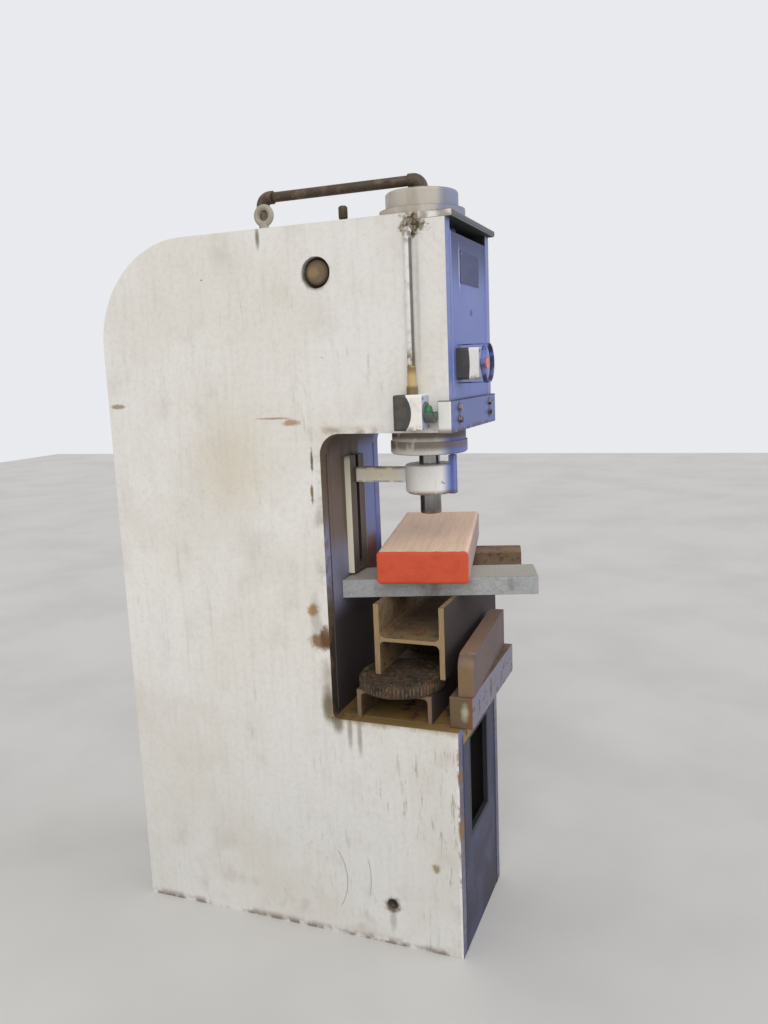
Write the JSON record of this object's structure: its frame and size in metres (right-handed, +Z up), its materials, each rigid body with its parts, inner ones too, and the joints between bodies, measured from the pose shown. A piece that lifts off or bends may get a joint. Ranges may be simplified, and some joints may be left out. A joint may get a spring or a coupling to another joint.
{
  "type": "hydraulic press",
  "caption": "Upright C-frame hydraulic workshop press with a guided ram over an open throat, push-button stations, top pipe run and stacked work supports on its table.",
  "frame": {"origin": "on the floor under the ram's axis", "axes": "+Z up, front towards -Y, the side with the start station towards -X"},
  "size_m": [0.8705, 1.266, 2.243],
  "materials": {
    "frame_paint": "worn off-white paint",
    "head_paint": "worn off-white paint, bluish in the light",
    "rusty_steel": "rusted steel",
    "bright_steel": "machined steel",
    "chrome": "polished",
    "dark_steel": "blackened steel",
    "brown_pipe": "tan-brown paint",
    "grey_paint": "grey paint",
    "seal_rubber": "matt black",
    "box_grey": "dark grey",
    "box_white": "off-white",
    "black_plastic": "black",
    "button_green": "green",
    "button_red": "orange-red",
    "timber": "rough sawn, painted at one end",
    "pale_bar": "dull steel"
  },
  "bodies": {
    "frame": {"side_plate_left": "frame_paint", "side_plate_right": "frame_paint", "throat_liner": "frame_paint", "head_bottom_plate": "frame_paint", "head_front_plate": "head_paint", "top_plate": "frame_paint", "back_skin": "frame_paint", "table_plate": "frame_paint", "base_front_plate": "head_paint", "floor_plate": "frame_paint", "base_rib": "frame_paint", "head_rib": "frame_paint", "nose_block": "head_paint", "nose_bolts": "bright_steel", "lifting_bar": "rusty_steel", "cylinder_barrel": "frame_paint", "cylinder_gland": "frame_paint", "rod_wiper": "seal_rubber", "gland_screws": "dark_steel", "cylinder_cap": "frame_paint", "cap_screws": "dark_steel", "guide_rail": "frame_paint", "lifting_eye": "frame_paint", "breather": "brown_pipe", "riser_pipe": "brown_pipe", "cross_pipe": "brown_pipe", "pipe_elbows": "brown_pipe", "conduit": "brown_pipe", "conduit_gland": "brown_pipe", "start_base": "box_grey", "start_cover": "box_white", "start_ring": "black_plastic", "stop_base": "box_grey", "stop_cover": "box_white", "stop_ring": "black_plastic", "stop_guard": "dark_steel", "oil_tank": "grey_paint", "tank_lid": "grey_paint", "motor": "grey_paint", "bell_housing": "bright_steel", "pump": "dark_steel", "valve_block": "dark_steel", "rear_cover": "frame_paint", "cover_screws": "bright_steel", "support_channel": "rusty_steel", "near_disc": "rusty_steel", "far_disc": "rusty_steel", "support_beam": "rusty_steel", "near_bar": "pale_bar", "far_bar": "rusty_steel", "packing_block": "timber", "front_bar": "pale_bar", "tall_bar": "rusty_steel"},
    "ram": {"ram": "chrome", "ram_collar": "frame_paint", "piston": "bright_steel", "piston_seal": "seal_rubber"},
    "start_button": {"start_button": "button_green"},
    "stop_button": {"stop_button": "button_red"},
    "drive_shaft": {"drive_shaft": "bright_steel"}
  },
  "joints": [
    {"name": "ram_slide", "type": "slide", "parent": "frame", "child": "ram", "axis": [0, 0, -1], "range_m": [0, 0.09]},
    {"name": "start_press", "type": "slide", "parent": "frame", "child": "start_button", "axis": [0, 1, 0], "range_m": [0, 0.004], "stiffness_N_per_m": 800, "springref_m": -0.002},
    {"name": "stop_press", "type": "slide", "parent": "frame", "child": "stop_button", "axis": [0, 1, 0], "range_m": [0, 0.004], "stiffness_N_per_m": 800, "springref_m": -0.002},
    {"name": "drive_turn", "type": "hinge", "parent": "frame", "child": "drive_shaft", "pos_m": [0, 0.67, 0.578], "axis": [0, 1, 0], "continuous": true}
  ]
}
